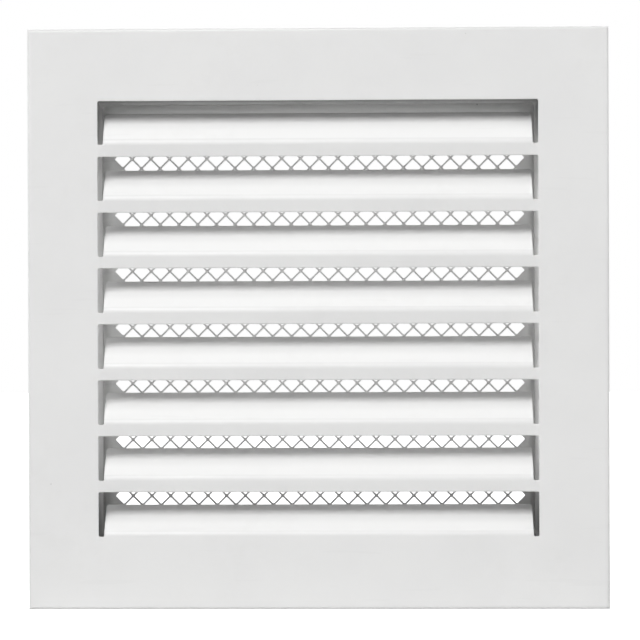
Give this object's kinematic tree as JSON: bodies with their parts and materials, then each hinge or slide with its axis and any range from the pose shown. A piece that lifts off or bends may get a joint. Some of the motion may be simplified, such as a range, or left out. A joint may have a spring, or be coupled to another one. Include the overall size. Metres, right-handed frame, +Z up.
{
  "type": "ventilation grille",
  "caption": "Square white steel ventilation grille: louvres bent back from the face, a folded sleeve behind, a perforated screen across its back and spring clips on its sides.",
  "frame": {"origin": "middle of the whole grille's box", "axes": "-Y out of the louvred face into the room, +Y into the wall, +Z up, +X to the right seen from the room"},
  "size_m": [0.17, 0.0264, 0.17],
  "materials": {
    "face_coat": "white powder coat, satin",
    "inner_coat": "white powder coat, thin inside the sleeve",
    "spring_steel": "plain rolled spring strip"
  },
  "bodies": {
    "root": {"face_plate": "face_coat", "sleeve": "inner_coat", "screen": "inner_coat", "clip_left_upper": "spring_steel", "clip_left_lower": "spring_steel", "clip_right_upper": "spring_steel", "clip_right_lower": "spring_steel"}
  },
  "joints": []
}
